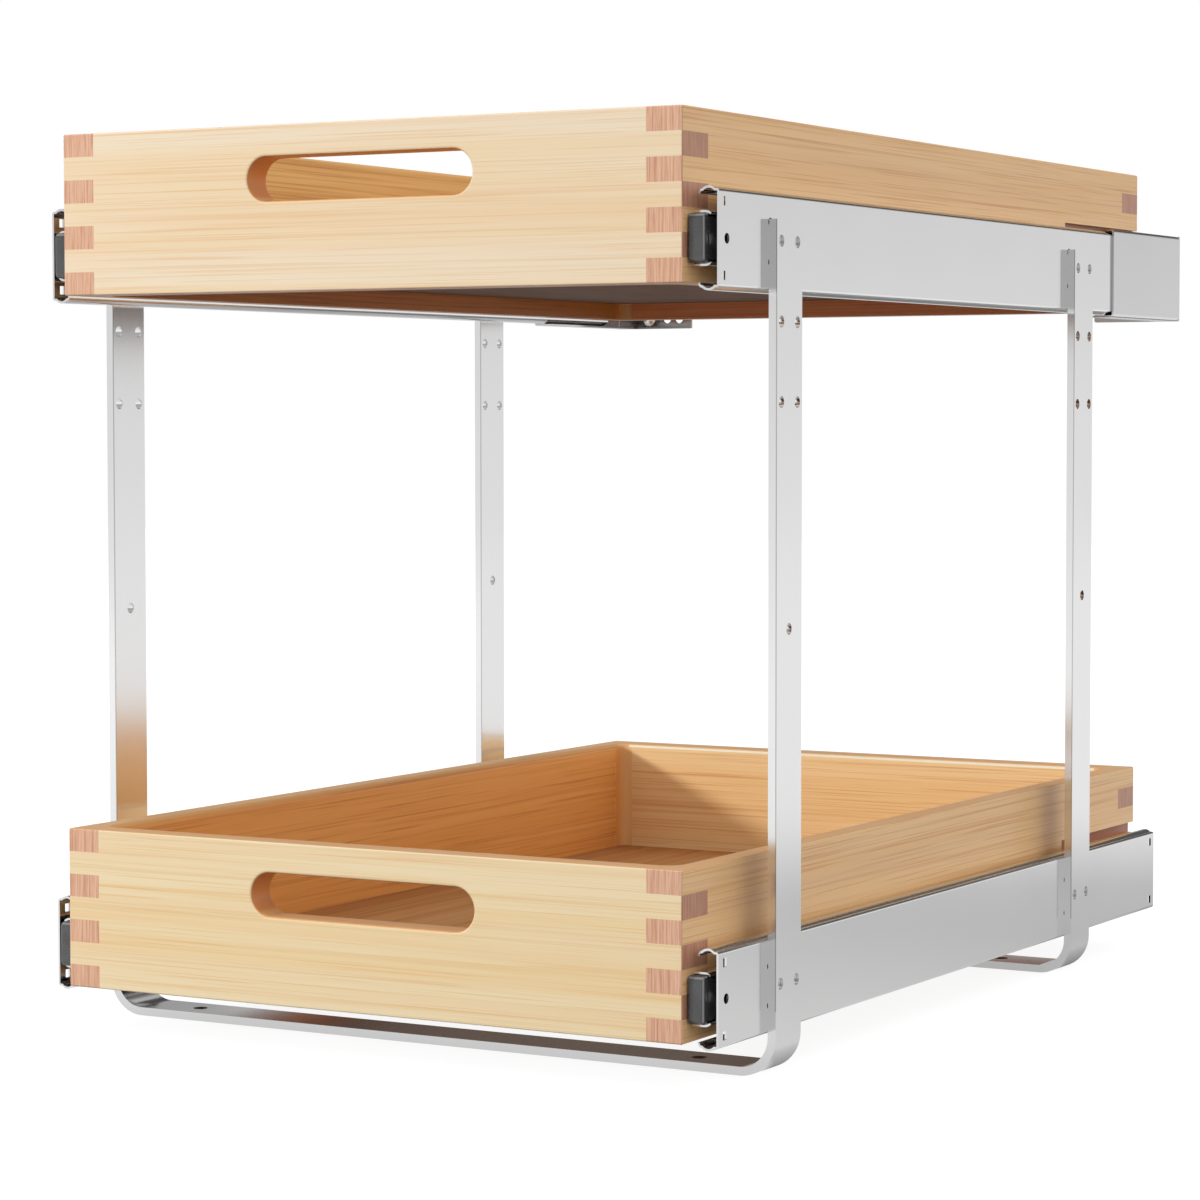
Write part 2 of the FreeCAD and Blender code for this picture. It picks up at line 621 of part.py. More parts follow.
def make_rear_bracket(name, side):
    """Sheet sleeve over the rear end of an upper cabinet rail, bent into a plate across the cabinet's rear."""
    bend = "Sizes.bracket_bend"
    start = f"({BRACKET_END} - Sizes.bracket_length)"
    flange_end = f"({BRACKET_END} - {bend} - Sizes.bracket_slit)"
    upper = [
        (plate_x(side, "Sizes.bracket_depth"), PLATE_HALF),
        (plate_x(side, bend), PLATE_HALF),
        (plate_x(side, "0"), f"{PLATE_HALF} - {bend}"),
    ]
    corners, bends = mirrored_path(upper, {1: bend})
    sleeve = strip("Sleeve", corners, bends, -side, "Sizes.bracket_sheet", start, f"{flange_end} - {start}")
    around = [
        (plate_x(side, "0"), flange_end),
        (plate_x(side, "0"), f"{BRACKET_END} - {bend}"),
        (plate_x(side, bend), BRACKET_END),
        (plate_x(side, "Sizes.bracket_plate_width"), BRACKET_END),
    ]
    plate = strip("Plate", around, {1: bend}, side, "Sizes.bracket_sheet", f"-{PLATE_HALF}", f"2 * {PLATE_HALF}",
                  flat=True)
    inner_edge = value(plate_x(side, "Sizes.bracket_plate_width"))

    def free_corner(edge):
        """The plate's corners, along its thickness, at its inner edge."""
        box = edge.BoundBox
        at_edge = abs(box.XMin - inner_edge) < FIT and abs(box.XMax - inner_edge) < FIT
        return at_edge and box.ZLength < FIT and box.YLength > FIT

    plate = rounded(plate, SIZES["bracket_plate_corner"], free_corner)
    holes = []
    for offset in ("first", "second", "third"):
        x_place = plate_x(side, f"Sizes.bracket_hole_{offset}")
        holes.append(rod("y", (x_place, f"{BRACKET_END} - Sizes.bracket_sheet", PLATE_HOLE_LEVEL),
                         "Sizes.bracket_sheet", "Sizes.bracket_hole"))
    finish(without(joined([sleeve, plate]), holes), f"{name}_rear_bracket", RAIL_CENTRE["upper"])


# Drawers


def drawer_level(tier):
    """Height of the lower edge of a drawer."""
    return f"({RAIL_CENTRE[tier]} - Sizes.drawer_drop)"


def make_bottom_panel(tier):
    """The bottom, held in grooves all round."""
    reach = f"({HALF_DRAWER} - Sizes.side_thickness + Sizes.bottom_tongue)"
    along = "(Sizes.end_thickness - Sizes.bottom_tongue)"
    upright = ("Sizes.bottom_recess", "Sizes.bottom_recess + Sizes.bottom_thickness")
    return block((f"-{reach}", reach), (along, f"Sizes.drawer_depth - {along}"), upright)


def make_handle_tool():
    """The slot through the front panel, round at both ends."""
    through = ("-Sizes.handle_length", "Sizes.end_thickness + Sizes.handle_length")
    half = "(Sizes.handle_length / 2 - Sizes.handle_height / 2)"
    upright = ("Sizes.handle_centre - Sizes.handle_height / 2", "Sizes.handle_centre + Sizes.handle_height / 2")
    tools = [block((f"-{half}", half), through, upright)]
    for sign in (-1, 1):
        tools.append(rod("y", (f"{sign} * {half}", through[0], "Sizes.handle_centre"),
                         f"{through[1]} - ({through[0]})", "Sizes.handle_height"))
    return joined(tools)


def make_tray():
    """All four walls of a drawer as one shape, to be split along the finger joints."""
    height = ("0", "Sizes.drawer_height")
    outside = block((f"-{HALF_DRAWER}", HALF_DRAWER), ("0", "Sizes.drawer_depth"), height)
    outside = rounded(outside, SIZES["edge_round"], lambda edge: True)
    side_face = f"({HALF_DRAWER} - Sizes.side_thickness)"
    hollow = block((f"-{side_face}", side_face), ("Sizes.end_thickness", "Sizes.drawer_depth - Sizes.end_thickness"),
                   ("-Sizes.drawer_height", "2 * Sizes.drawer_height"))
    hollow = rounded(hollow, SIZES["cavity_corner"], lambda edge: edge.BoundBox.ZLength > FIT)
    walls = without(outside, [hollow])
    top = SIZES["drawer_height"]
    rim = value(side_face) + FIT
    front_rim = SIZES["end_thickness"] - FIT
    rear_rim = SIZES["drawer_depth"] - SIZES["end_thickness"] + FIT

    def inner_rim(edge):
        """The edges round the mouth of the hollow."""
        box = edge.BoundBox
        inside = box.XMin > -rim and box.XMax < rim and box.YMin > front_rim and box.YMax < rear_rim
        return inside and box.ZMin > top - FIT

    walls = rounded(walls, SIZES["rim_round"], inner_rim)
    walls = without(walls, [make_handle_tool()])
    slot_reach = SIZES["handle_length"] / 2 + FIT
    slot_low = SIZES["handle_centre"] - SIZES["handle_height"] / 2 - FIT
    slot_high = SIZES["handle_centre"] + SIZES["handle_height"] / 2 + FIT
    faces = (0.0, SIZES["end_thickness"])

    def slot_rim(edge):
        """The edges of the handle slot on both faces of the front panel."""
        box = edge.BoundBox
        within = box.XMin > -slot_reach and box.XMax < slot_reach and box.ZMin > slot_low and box.ZMax < slot_high
        return within and any(abs(box.YMin - face) < FIT and abs(box.YMax - face) < FIT for face in faces)

    return rounded(walls, SIZES["handle_round"], slot_rim)


def relief_tool(side):
    """Groove along the rear of a drawer side, clear of the upper flange of the rear bracket."""
    across = spread(side, f"{HALF_DRAWER} - Sizes.relief_depth", f"{HALF_DRAWER} + Sizes.relief_depth")
    along = ("Sizes.drawer_depth - Sizes.relief_length", "Sizes.drawer_depth + Sizes.relief_depth")
    return block(across, along, ("Sizes.relief_low", "Sizes.relief_high"))


def finger_rows(parity):
    """Heights of every other finger row, from the bottom up."""
    rows = range(parity, FINGER_ROWS, 2)
    return [(f"Sizes.drawer_height * {row} / {FINGER_ROWS}", f"Sizes.drawer_height * {row + 1} / {FINGER_ROWS}")
            for row in rows]


def side_zone(side):
    """The part of the walls that belongs to a side panel."""
    across = spread(side, f"{HALF_DRAWER} - Sizes.joint_width", HALF_DRAWER)
    zone = [block(across, ("Sizes.joint_depth", "Sizes.drawer_depth - Sizes.joint_depth"),
                  ("0", "Sizes.drawer_height"))]
    for heights in finger_rows(0):
        zone.append(block(across, ("0", "Sizes.drawer_depth"), heights))
    return joined(zone)


def end_zone(is_front):
    """The part of the walls that belongs to the front or the back panel."""
    inner = f"{HALF_DRAWER} - Sizes.joint_width"
    if is_front:
        half = ("0", "Sizes.drawer_depth / 2")
        joint = ("0", "Sizes.joint_depth")
    else:
        half = ("Sizes.drawer_depth / 2", "Sizes.drawer_depth")
        joint = ("Sizes.drawer_depth - Sizes.joint_depth", "Sizes.drawer_depth")
    zone = [block((f"-({inner})", inner), half, ("0", "Sizes.drawer_height"))]
    for heights in finger_rows(1):
        zone.append(block((f"-{HALF_DRAWER}", HALF_DRAWER), joint, heights))
    return joined(zone)


def make_drawer(tier):
    """Front, back, two sides and bottom of one drawer."""
    level = drawer_level(tier)
    bottom = make_bottom_panel(tier)
    pilots = []
    pilot = "Sizes.wood_screw + 2 * Sizes.screw_play"
    for side in SIDES.values():
        for place in wood_screw_places():
            pilots.append(side_rod(side, f"{HALF_DRAWER} - Sizes.wood_screw_length", HALF_DRAWER, place,
                                   "Sizes.drawer_drop", pilot))
    walls = without(make_tray(), [bottom] + [relief_tool(side) for side in SIDES.values()] + pilots)
    finish(shared(walls, end_zone(True)), f"{tier}_drawer_front", level)
    finish(shared(walls, end_zone(False)), f"{tier}_drawer_back", level)
    for name, side in SIDES.items():
        finish(shared(walls, side_zone(side)), f"{tier}_drawer_{name}_side", level)
    finish(together([bottom]), f"{tier}_drawer_bottom", level)


for frame_end in FRAME_FRONT:
    make_frame(frame_end)
make_rail_screws()
make_wall_screws()
for side_name, side_sign in SIDES.items():
    make_rear_bracket(side_name, side_sign)
for tier_name in TIERS:
    make_drawer(tier_name)
    make_drawer_rail_screws(tier_name)
    for side_name, side_sign in SIDES.items():
        make_cabinet_rail(tier_name, side_name, side_sign)
        make_middle_rail(tier_name, side_name, side_sign)
        make_drawer_rail(tier_name, side_name, side_sign)
        make_bumper(tier_name, side_name, side_sign)
        make_cage(tier_name, side_name, side_sign, "outer")
        make_cage(tier_name, side_name, side_sign, "inner")
doc.recompute()

for thing in doc.Objects:
    if "Invalid" in thing.State or "Error" in thing.State:
        raise RuntimeError(f"{thing.Name} {thing.Label} failed: {thing.State}")
for piece in pieces:
    if piece.Shape.isNull() or not piece.Shape.isValid() or not piece.Shape.Solids:
        raise RuntimeError(f"{piece.Label} has no valid shape")

os.makedirs("parts", exist_ok=True)
for piece in pieces:
    piece.Shape.exportStep(f"parts/{piece.Label}.step")
    box = piece.Shape.BoundBox
    print(f"{piece.Label}: {len(piece.Shape.Solids)} solids, volume {piece.Shape.Volume:.0f}, "
          f"X {box.XMin:.2f} to {box.XMax:.2f}, Y {box.YMin:.2f} to {box.YMax:.2f}, Z {box.ZMin:.2f} to {box.ZMax:.2f}")
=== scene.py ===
import json
import math

import bpy
from mathutils import Matrix, Vector

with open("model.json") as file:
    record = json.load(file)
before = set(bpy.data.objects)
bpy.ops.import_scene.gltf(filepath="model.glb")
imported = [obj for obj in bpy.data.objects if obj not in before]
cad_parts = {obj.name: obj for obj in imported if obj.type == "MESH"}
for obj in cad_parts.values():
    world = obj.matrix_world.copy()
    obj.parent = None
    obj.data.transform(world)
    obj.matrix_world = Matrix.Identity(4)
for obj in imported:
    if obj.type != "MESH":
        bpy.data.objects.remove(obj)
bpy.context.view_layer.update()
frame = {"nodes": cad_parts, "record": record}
nodes = frame["nodes"]
scene = bpy.context.scene
scene.view_settings.view_transform = "Standard"


# Node trees


class Tree:
    """A node tree, with short calls for the nodes that the finishes, the world and the floor share."""

    def __init__(self, owner):
        owner.use_nodes = True
        self.tree = owner.node_tree
        self.tree.nodes.clear()

    def put(self, socket, source):
        """Link a socket or set its value."""
        if isinstance(source, bpy.types.NodeSocket):
            self.tree.links.new(source, socket)
        elif socket.type == "RGBA":
            socket.default_value = (*source, 1.0)
        else:
            socket.default_value = source

    def node(self, kind, inputs=(), **settings):
        """A new node with its settings, and the sources of its inputs by name or number."""
        made = self.tree.nodes.new("ShaderNode" + kind)
        for key, setting in settings.items():
            setattr(made, key, setting)
        for key, source in dict(inputs).items():
            self.put(made.inputs[key], source)
        return made

    def split(self, kind):
        """The three parts of a texture coordinate."""
        parts = self.node("SeparateXYZ", {0: self.node("TexCoord").outputs[kind]}).outputs
        return parts["X"], parts["Y"], parts["Z"]

    def math(self, operation, *sources):
        """The result of one operation on numbers."""
        return self.node("Math", dict(enumerate(sources)), operation=operation).outputs[0]

    def product(self, first, *others):
        """All the numbers multiplied."""
        for other in others:
            first = self.math("MULTIPLY", first, other)
        return first

    def either(self, first, second):
        """The larger of two numbers."""
        return self.math("MAXIMUM", first, second)

    def below(self, source, limit):
        """1 below a limit, else 0."""
        return self.math("LESS_THAN", source, limit)

    def above(self, source, limit):
        """1 above a limit, else 0."""
        return self.math("GREATER_THAN", source, limit)

    def opposite(self, mask):
        """1 where a mask is 0, and 0 where it is 1."""
        return self.math("SUBTRACT", 1.0, mask)

    def distance(self, source, place):
        """How far a number is from a place, on either side."""
        return self.math("ABSOLUTE", self.math("SUBTRACT", source, place))

    def ramp(self, source, low, high, start=0.0, end=1.0, shape="LINEAR"):
        """Map low..high to start..end, with the ends held beyond."""
        inputs = {"Value": source, "From Min": low, "From Max": high, "To Min": start, "To Max": end}
        return self.node("MapRange", inputs, interpolation_type=shape).outputs["Result"]

    def smooth(self, source, low, high, start=0.0, end=1.0):
        """A ramp that eases in and out."""
        return self.ramp(source, low, high, start, end, "SMOOTHSTEP")

    def mix(self, amount, first, second, blend="MIX"):
        """Two colours mixed."""
        inputs = {0: amount, 6: first, 7: second}
        return self.node("Mix", inputs, data_type="RGBA", blend_type=blend).outputs[2]

    def tint(self, amount, colour, factors):
        """A colour multiplied by the amount of some factors."""
        return self.mix(amount, colour, factors, "MULTIPLY")

    def by_ray(self, lit, mirrored, shown):
        """A shader that lights the object, one that the metal mirrors and one that the camera sees."""
        path = self.node("LightPath").outputs
        mirrors = self.either(path["Is Glossy Ray"], path["Is Transmission Ray"])
        unseen = self.node("MixShader", {0: mirrors, 1: lit, 2: mirrored}).outputs[0]
        return self.node("MixShader", {0: path["Is Camera Ray"], 1: unseen, 2: shown}).outputs[0]


class Finish(Tree):
    """A material with one surface."""

    def __init__(self, name):
        self.material = bpy.data.materials.new(name)
        super().__init__(self.material)
        self.surface = self.node("BsdfPrincipled")
        self.node("OutputMaterial", {"Surface": self.surface.outputs["BSDF"]})

    def noise(self, scale, shift=(0, 0, 0), detail=2.0, roughness=0.6, distortion=0.0):
        """Noise fixed to the object, by its number of spots per metre along each axis."""
        place = self.node("TexCoord").outputs["Object"]
        where = self.node("Mapping", {"Vector": place, "Scale": scale, "Location": shift}).outputs[0]
        inputs = {"Detail": detail, "Roughness": roughness, "Distortion": distortion}
        return self.node("TexNoise", {"Vector": where, "Scale": 1.0, **inputs}).outputs["Fac"]

    def cover(self, colour, roughness, height, bump, levels):
        """Finish the surface with bumps of a strength and depth, and return the material."""
        strength, depth = bump
        raised = self.node("Bump", {"Height": height, "Strength": strength, "Distance": depth})
        sources = {"Base Color": colour, "Roughness": roughness, "Normal": raised.outputs["Normal"], **levels}
        for name, source in sources.items():
            self.put(self.surface.inputs[name], source)
        return self.material


def linear(red, green, blue):
    """A colour given as it looks on screen, from 0 to 255, as linear light."""
    def level(number):
        part = number / 255
        return part / 12.92 if part <= 0.04045 else ((part + 0.055) / 1.055) ** 2.4
    return level(red), level(green), level(blue)


def grey(level):
    """A grey as linear light."""
    return level, level, level


# Places on the object, in metres: X to the right of the middle, Y to the rear of it, Z above the cabinet floor


FRONT_LEVEL = -0.28675            # the drawers' front faces
HALF_WIDTH = 0.1666               # of a drawer
HALF_DEPTH = 0.533 / 2
SIDE_FACE = HALF_WIDTH - 0.013    # inner faces of the side panels, from the middle plane
END_FACE = HALF_DEPTH - 0.016     # inner faces of the end panels, from halfway along the drawer
CORNER_REACH = 0.007              # of the rounded upright corners inside a drawer
LOWER_EDGE = 0.02215              # of the lower drawer
TIER_RISE = 0.3297                # from one drawer to the other
BOTTOM_RECESS = 0.0095            # from a drawer's lower edge up to its bottom panel
SLOT_TOP = 0.068                  # from a drawer's lower edge up to between the handle slot and the rounded rim
RELIEF_LOW = 0.038                # from a drawer's lower edge up to below the groove for the rear bracket
RELIEF_DEPTH = 0.0032             # of that groove
SKIN = 0.0004                     # how far from its plane a face keeps its own colour
BAR_CORNERS = (-0.180, 0.184)     # right corners of the uprights
BEND_TOP = 0.03                   # of the bent bars
FRAMES = ("front_frame", "rear_frame")


def front_edge(name):
    """Where a node starts along the drawers' travel."""
    thing = nodes[name]
    return min((thing.matrix_world @ Vector(corner)).y for corner in thing.bound_box)


frame_fronts = [front_edge(name) for name in FRAMES]


# Wood


# Each panel's pale bands, warm bands and lines.
FRONT_PINE = (linear(231, 214, 188), linear(230, 207, 172), linear(218, 176, 124))
SIDE_PINE = (linear(245, 201, 146), linear(242, 195, 138), linear(208, 140, 82))
BOTTOM_PINE = (linear(207, 150, 94), linear(197, 139, 83), linear(154, 94, 48))
# Inside the drawers the pine is more orange: its own colour with painted warm shade, as from light bounced
# between the walls.
INNER_END_PINE_WITH_SHADE = (linear(244, 214, 162), linear(239, 202, 146), linear(206, 140, 82))
INNER_SIDE_PINE_WITH_SHADE = (linear(240, 174, 100), linear(232, 162, 88), linear(182, 104, 44))

ROSE = linear(228, 186, 146)
# A painted darker shade on the upward faces of the rims.
RIM_TOP_SHADE = linear(228, 174, 114)
# A painted highlight on the end panels' rounded inner rim.
PAINTED_RIM_HIGHLIGHT = linear(245, 237, 212)
# Painted shade on the faces of the handle slot.
SLOT_WALL_SHADE = linear(212, 142, 84)
# Painted shade and a greyish painted reflection on the undersides of the bottom panels.
UNDERSIDE_SHADE = linear(126, 106, 92)
# The rounded inner corners blend between the inner colours of the end and side panels, with their painted warm
# shade.
CORNER = (linear(234, 190, 130), linear(230, 156, 84))
END_GRAIN = {
    "X": (linear(203, 152, 124), linear(176, 118, 92)),
    "Y": (linear(222, 179, 150), linear(192, 138, 110)),
}

# Factors on the colours of some places.
# Painted warmer shade on the lower drawer's end panels.
LOWER_END_SHADE_TINT = (1.0, 0.98, 0.85)
# Lit copies of the inner side colour: these take most of its painted warm shade off both drawers' right walls
# and off the upper drawer's other inner faces.
UPPER_SIDE_LIT_TINT = (0.87, 1.12, 1.26)
RIGHT_WALL_LIT_TINT = (1.04, 1.5, 2.2)
# Painted shade, darker and redder, on the lip below the bottom panel.
LIP_SHADE_TINT = {"X": (0.96, 0.53, 0.43), "Y": (1.0, 0.66, 0.5)}

# Patterns: the size of a spot along the grain, across it and through the panel, in metres, then the shift, and
# the noise's detail, roughness and distortion.
BANDS = ((0.8, 0.016, 0.05), (0, 0, 0), 3.0, 0.5, 0.3)
ROSY_BANDS = ((0.5, 0.006, 0.05), (5.3, 2.2, 8.1), 3.0, 0.55, 0.2)
STREAKS = ((0.3, 0.0019, 0.02), (3.1, 1.7, 5.3), 2.0, 0.6, 0.1)
THREADS = ((0.13, 0.0007, 0.012), (7.3, 2.9, 1.1), 2.0, 0.5, 0.1)
FIBRES = ((0.05, 0.0003, 0.004), (0, 0, 0), 2.0, 0.5, 0.0)
GLOSS = ((0.06, 0.006, 0.01), (0, 0, 0), 2.0, 0.5, 0.0)
RINGS = ((0.03, 0.02, 0.0005), (0.7, 4.1, 2.2), 3.0, 0.65, 0.2)

# Between which levels of its noise a pattern comes in, and for lines how strong they are at both.
BAND_FADE = (0.4, 0.6)
ROSY_FADE = (0.48, 0.68)
STREAK_FADE = (0.52, 0.68, 0.0, 0.34)
THREAD_FADE = (0.56, 0.66, 0.0, 0.5)
FIBRE_FADE = (0.35, 0.7, 0.0, 0.08)
RING_FADE = (0.35, 0.7)
WIDE_FADE = (0.3, 0.7)
OUTER_ROSE = 0.25                 # how strong the rosy bands are outside

# The same by how far up a surface faces, from -1 to 1, for the painted shade on the rims' upward faces and on
# the undersides.
RIM_TOP_SHADE_FADE = {"X": (0.7, 0.92), "Y": (0.5, 0.8)}
UNDERSIDE_SHADE_FADE = (-0.6, -0.4, 1.0, 0.0)

WOOD_BUMP = (0.08, 0.0002)


class Wood(Finish):
    """Pine with its grain along X, along Y, or along Y in a flat panel, and the places of a drawer as masks."""

    def __init__(self, name, grain):
        super().__init__(name)
        self.grain = grain
        across, along, height = self.split("Object")
        self.right = self.above(across, 0.0)
        self.sideways = self.math("ABSOLUTE", across)
        self.lengthways = self.distance(along, FRONT_LEVEL + HALF_DEPTH)
        self.upper = self.above(height, TIER_RISE / 2)
        lower_edge = self.math("MULTIPLY_ADD", self.upper, TIER_RISE, LOWER_EDGE)
        self.above_edge = self.math("SUBTRACT", height, lower_edge)
        self.upward = self.split("Normal")[2]
        self.bands = self.smooth(self.pattern(BANDS), *BAND_FADE)
        self.rosy_bands = self.pattern(ROSY_BANDS)
        self.threads = self.pattern(THREADS)
        self.lines = (self.smooth(self.pattern(STREAKS), *STREAK_FADE),
                      self.smooth(self.threads, *THREAD_FADE),
                      self.smooth(self.pattern(FIBRES), *FIBRE_FADE))

    def pattern(self, settings):
        """Noise stretched along the grain."""
        (along, across, through), *others = settings
        sizes = {"X": (along, through, across), "Y": (through, along, across), "flat": (across, along, through)}
        return self.noise(tuple(1 / size for size in sizes[self.grain]), *others)

    def grained(self, colours, rose=0.0):
        """Pale, warm and rosy bands with darker lines."""
        pale, warm, line = colours
        made = self.mix(self.bands, pale, warm)
        made = self.mix(self.smooth(self.rosy_bands, *ROSY_FADE, 0.0, rose), made, ROSE)
        for strength in self.lines:
            made = self.mix(strength, made, line)
        return made

    def inside(self):
        """1 within the drawer's outer faces, else 0."""
        return self.product(self.below(self.sideways, HALF_WIDTH - SKIN),
                            self.below(self.lengthways, HALF_DEPTH - SKIN))

    def inner_colour(self, pine):
        """The walls inside with painted warm shade, the lip below the bottom panel with painted shade, the
        rounded corners, the slot with painted shade and the inner rim with a painted highlight.
        """
        lip = self.below(self.above_edge, BOTTOM_RECESS)
        # The lip below the bottom panel gets painted shade.
        made = self.tint(lip, self.grained(pine), LIP_SHADE_TINT[self.grain])
        if self.grain == "Y":
            # The right walls and the upper drawer take most of the painted warm shade back off.
            right_wall = self.product(self.right, self.opposite(lip))
            made = self.tint(right_wall, made, RIGHT_WALL_LIT_TINT)
            made = self.tint(self.product(self.upper, self.opposite(right_wall)), made, UPPER_SIDE_LIT_TINT)
        in_corner = self.product(self.above(self.sideways, SIDE_FACE - CORNER_REACH),
                                 self.above(self.lengthways, END_FACE - CORNER_REACH))
        middle = SIDE_FACE - END_FACE
        turn = self.smooth(self.math("SUBTRACT", self.sideways, self.lengthways),
                           middle - CORNER_REACH, middle + CORNER_REACH)
        made = self.mix(in_corner, made, self.mix(turn, *CORNER))
        if self.grain == "X":
            # Within the end panels: a painted highlight on the rounded inner rim above the slot, and painted
            # shade on the slot's faces below it.
            wall = self.mix(self.below(self.above_edge, SLOT_TOP), PAINTED_RIM_HIGHLIGHT, SLOT_WALL_SHADE)
            made = self.mix(self.above(self.lengthways, END_FACE + SKIN), made, wall)
        return made

    def relief(self):
        """1 in the groove for the rear bracket, where painted shade goes, else 0."""
        return self.product(self.below(self.distance(self.sideways, HALF_WIDTH - RELIEF_DEPTH), SKIN),
                            self.below(self.lengthways, HALF_DEPTH - SKIN),
                            self.above(self.above_edge, RELIEF_LOW))

    def with_end_grain(self, colour):
        """A colour, with rings on the faces that cut the grain."""
        rings = self.mix(self.smooth(self.pattern(RINGS), *RING_FADE), *END_GRAIN[self.grain])
        place, face = (self.sideways, HALF_WIDTH) if self.grain == "X" else (self.lengthways, HALF_DEPTH)
        return self.mix(self.above(place, face - SKIN), colour, rings)


def make_wood(name, grain, pine, inner_pine_with_shade, shine, roughness):
    """Lacquered pine for the end panels (X), the side panels (Y) or the bottoms (flat)."""
    wood = Wood(name, grain)
    colour = wood.grained(pine, OUTER_ROSE)
    if grain == "flat":
        # Downward faces of the bottom panels take the painted shade and reflection.
        colour = wood.mix(wood.smooth(wood.upward, *UNDERSIDE_SHADE_FADE), colour, UNDERSIDE_SHADE)
    else:
        if grain == "X":
            # The lower drawer's end panels get a painted warmer shade.
            colour = wood.tint(wood.opposite(wood.upper), colour, LOWER_END_SHADE_TINT)
        # Inside the drawer, the inner colours carry painted warm shade.
        colour = wood.mix(wood.inside(), colour, wood.inner_colour(inner_pine_with_shade))
        # The groove for the rear bracket gets the dark end-grain tone as painted shade in the recess.
        colour = wood.mix(wood.relief(), colour, END_GRAIN["X"][1])
        # Upward faces of the rims take the painted darker shade.
        colour = wood.mix(wood.smooth(wood.upward, *RIM_TOP_SHADE_FADE[grain]), colour, RIM_TOP_SHADE)
        colour = wood.with_end_grain(colour)
    gloss = wood.smooth(wood.pattern(GLOSS), *WIDE_FADE, *roughness)
    return wood.cover(colour, gloss, wood.threads, WOOD_BUMP, {"Specular IOR Level": shine})


# Steel and plastic


LINES_ALONG = 20                  # spots of the rolling lines per metre
LINES_ACROSS = 1500
LINE_STRENGTH = 0.1
LINE_SHADE = grey(0.9)
CLOUDS = (9, 9, 9)
CLOUD_SHADE = 0.975
GLOSS_FADE = (0.35, 0.65)
# A painted dark line on the uprights' corners, in place of a rounded edge's reflection.
PAINTED_CORNER_LINE = grey(0.6)
STEEL_BUMP = (0.01, 0.00005)

PLASTIC = ((0.045, 0.045, 0.046), (0.06, 0.06, 0.062))
PLASTIC_GRAIN = (2600, 2600, 2600)
PLASTIC_CLOUDS = (160, 160, 160)
PLASTIC_ROUGHNESS = (0.2, 0.32)
PLASTIC_SHINE = 0.8
PLASTIC_BUMP = (0.05, 0.0001)
PAINTED_EDGE_HIGHLIGHT = grey(0.24)
# The painted edge highlights: by how far up the surface faces, and how far it turns between across and along.
UPPER_HIGHLIGHT_START = (0.25, 0.55, 0.0, 0.8)
UPPER_HIGHLIGHT_END = (0.7, 0.95, 1.0, 0.0)
UPRIGHT_HIGHLIGHT = (0.36, 0.46)


def bar_corners(shader):
    """1 along the front right corner of each upright, where a dark line is painted in place of a rounded edge's
    reflection, else 0.
    """
    across, along, height = shader.split("Object")

    def near(source, places):
        """1 at either place, else 0."""
        return shader.either(*(shader.below(shader.distance(source, place), SKIN) for place in places))

    return shader.product(near(across, BAR_CORNERS), near(along, frame_fronts), shader.above(height, BEND_TOP))


def make_steel(name, rolled, colour, roughness):
    """Bright plated steel with very faint rolling lines along an axis."""
    shader = Finish(name)
    lines = shader.noise(tuple(LINES_ALONG if axis == rolled else LINES_ACROSS for axis in "XYZ"))
    cloud = shader.noise(CLOUDS, detail=3.0, roughness=0.5)
    shaded = tuple(channel * CLOUD_SHADE for channel in colour)
    tone = shader.mix(shader.smooth(cloud, *WIDE_FADE), shaded, colour)
    tone = shader.tint(shader.smooth(lines, *WIDE_FADE, 0.0, LINE_STRENGTH), tone, LINE_SHADE)
    # A painted dark line along the uprights' front right corners stands for the reflection on a rounded edge.
    if name == "frame_steel":
        tone = shader.tint(bar_corners(shader), tone, PAINTED_CORNER_LINE)
    gloss = shader.smooth(cloud, *GLOSS_FADE, *roughness)
    return shader.cover(tone, gloss, lines, STEEL_BUMP, {"Metallic": 1.0})


def make_plastic(name):
    """Black moulded plastic with a fine texture, and a painted highlight on its rounded upper and upright
    edges.
    """
    shader = Finish(name)
    grain = shader.noise(PLASTIC_GRAIN)
    cloud = shader.noise(PLASTIC_CLOUDS, detail=3.0, roughness=0.5)
    across, along, upward = shader.split("Normal")
    # A painted highlight on the rounded upper and upright edges.
    upper_highlight = shader.product(shader.smooth(upward, *UPPER_HIGHLIGHT_START),
                                shader.smooth(upward, *UPPER_HIGHLIGHT_END))
    slant = shader.product(shader.math("ABSOLUTE", across), shader.math("ABSOLUTE", along))
    edge = shader.either(upper_highlight, shader.smooth(slant, *UPRIGHT_HIGHLIGHT))
    colour = shader.mix(edge, shader.mix(shader.smooth(cloud, *WIDE_FADE), *PLASTIC), PAINTED_EDGE_HIGHLIGHT)
    gloss = shader.smooth(grain, *WIDE_FADE, *PLASTIC_ROUGHNESS)
    return shader.cover(colour, gloss, grain, PLASTIC_BUMP, {"Specular IOR Level": PLASTIC_SHINE})


# Steels: the axis that they are rolled along, the colour, and the roughness at its least and most.
STEELS = {
    "frame_steel": ("Z", grey(0.78), (0.13, 0.17)),
    "rail_steel": ("Y", grey(0.78), (0.13, 0.17)),
    # The middle rails and the ball cages are painted darker than the other steel, as shade inside the rails.
    "middle_steel": ("Y", grey(0.55), (0.2, 0.3)),
    "bracket_steel": ("Y", grey(0.66), (0.13, 0.17)),
    "cage_steel": ("Y", grey(0.3), (0.25, 0.4)),
    "ball_steel": ("Y", grey(0.8), (0.05, 0.12)),
    "screw_steel": ("X", (0.78, 0.78, 0.77), (0.25, 0.35)),
}
